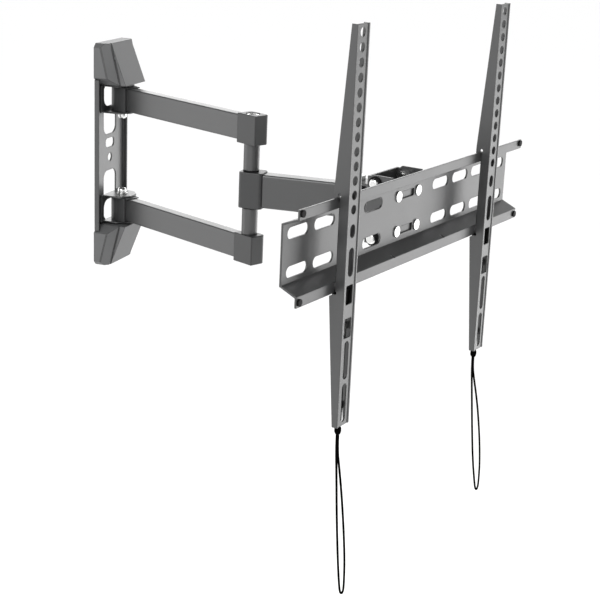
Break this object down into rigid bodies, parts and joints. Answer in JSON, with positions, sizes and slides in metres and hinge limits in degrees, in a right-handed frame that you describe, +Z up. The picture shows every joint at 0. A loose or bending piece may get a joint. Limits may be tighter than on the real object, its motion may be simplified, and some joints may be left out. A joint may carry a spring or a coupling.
{
  "type": "television wall mount",
  "caption": "Full motion wall mount for a flat screen: wall channel, paired arms, forearm, tilting head and hook-on rails with pull cords.",
  "frame": {"origin": "centre of the wall plate's back face, on the wall", "axes": "+Z up, -Y out of the wall toward the room, +X to the right for someone who faces the wall"},
  "size_m": [0.5068, 0.5157, 0.6403],
  "materials": {
    "powder_steel": "fine satin powder coat",
    "rail_steel": "fine satin powder coat",
    "cover_plastic": "fine moulded grain",
    "black_plastic": "smooth matt nylon",
    "block_metal": "satin powder coat over cast metal",
    "zinc": "bright zinc plate",
    "spring_steel": "drawn wire",
    "cord_black": "thin braided cord"
  },
  "bodies": {
    "wall": {"wall_plate": "powder_steel", "upper_cover": "cover_plastic", "lower_cover": "cover_plastic", "upper_hinge_bracket": "powder_steel", "lower_hinge_bracket": "powder_steel", "pivot_screws": "zinc", "pivot_washers": "zinc", "pivot_nuts": "zinc"},
    "arms": {"upper_arm_tube": "powder_steel", "lower_arm_tube": "powder_steel", "upper_arm_end": "block_metal", "lower_arm_end": "block_metal", "upper_elbow_block": "block_metal", "lower_elbow_block": "block_metal", "elbow_bolt": "zinc", "elbow_nut": "zinc", "elbow_spacers": "powder_steel"},
    "forearm": {"forearm_sleeve": "block_metal", "elbow_bushes": "black_plastic", "forearm_tube": "powder_steel", "forearm_barrel": "block_metal"},
    "head": {"swivel_head": "powder_steel", "swivel_bolt": "zinc", "swivel_nut": "zinc", "swivel_washers": "black_plastic", "tilt_screws": "zinc", "tilt_washers": "black_plastic", "tilt_nuts": "zinc"},
    "screen": {"tilt_bracket": "powder_steel", "screen_plate": "powder_steel", "plate_rivets": "zinc", "end_stops": "black_plastic"},
    "left_rail_body": {"left_rail": "rail_steel", "left_spring": "spring_steel"},
    "left_latch": {"left_catch": "black_plastic", "left_slider": "zinc", "left_knot": "cord_black", "left_cord": "cord_black"},
    "right_rail_body": {"right_rail": "rail_steel", "right_spring": "spring_steel"},
    "right_latch": {"right_catch": "black_plastic", "right_slider": "zinc", "right_knot": "cord_black", "right_cord": "cord_black"}
  },
  "joints": [
    {"name": "arm_swing", "type": "hinge", "parent": "wall", "child": "arms", "pos_m": [0, -0.02, 0], "axis": [0, 0, 1], "range_deg": [-34.5, 85.5]},
    {"name": "elbow_fold", "type": "hinge", "parent": "arms", "child": "forearm", "pos_m": [-0.10763, -0.24565, 0], "axis": [0, 0, -1], "range_deg": [-71, 129]},
    {"name": "head_swivel", "type": "hinge", "parent": "forearm", "child": "head", "pos_m": [-0.09969, -0.3754, 0], "axis": [0, 0, 1], "range_deg": [-44, 75]},
    {"name": "screen_tilt", "type": "hinge", "parent": "head", "child": "screen", "pos_m": [-0.10892, -0.41791, 0.032], "axis": [0.9772, -0.2122, 0], "range_deg": [-3, 10]},
    {"name": "left_rail_slide", "type": "slide", "parent": "screen", "child": "left_rail_body", "axis": [0.9772, -0.2122, 0], "range_m": [-0.062, 0.1]},
    {"name": "right_rail_slide", "type": "slide", "parent": "screen", "child": "right_rail_body", "axis": [0.9772, -0.2122, 0], "range_m": [-0.08, 0.082]},
    {"name": "left_latch_pull", "type": "slide", "parent": "left_rail_body", "child": "left_latch", "axis": [0, 0, -1], "range_m": [0, 0.008], "stiffness_N_per_m": 300, "springref_m": -0.02, "deforming": ["left_spring"]},
    {"name": "right_latch_pull", "type": "slide", "parent": "right_rail_body", "child": "right_latch", "axis": [0, 0, -1], "range_m": [0, 0.008], "stiffness_N_per_m": 300, "springref_m": -0.02, "deforming": ["right_spring"]}
  ]
}
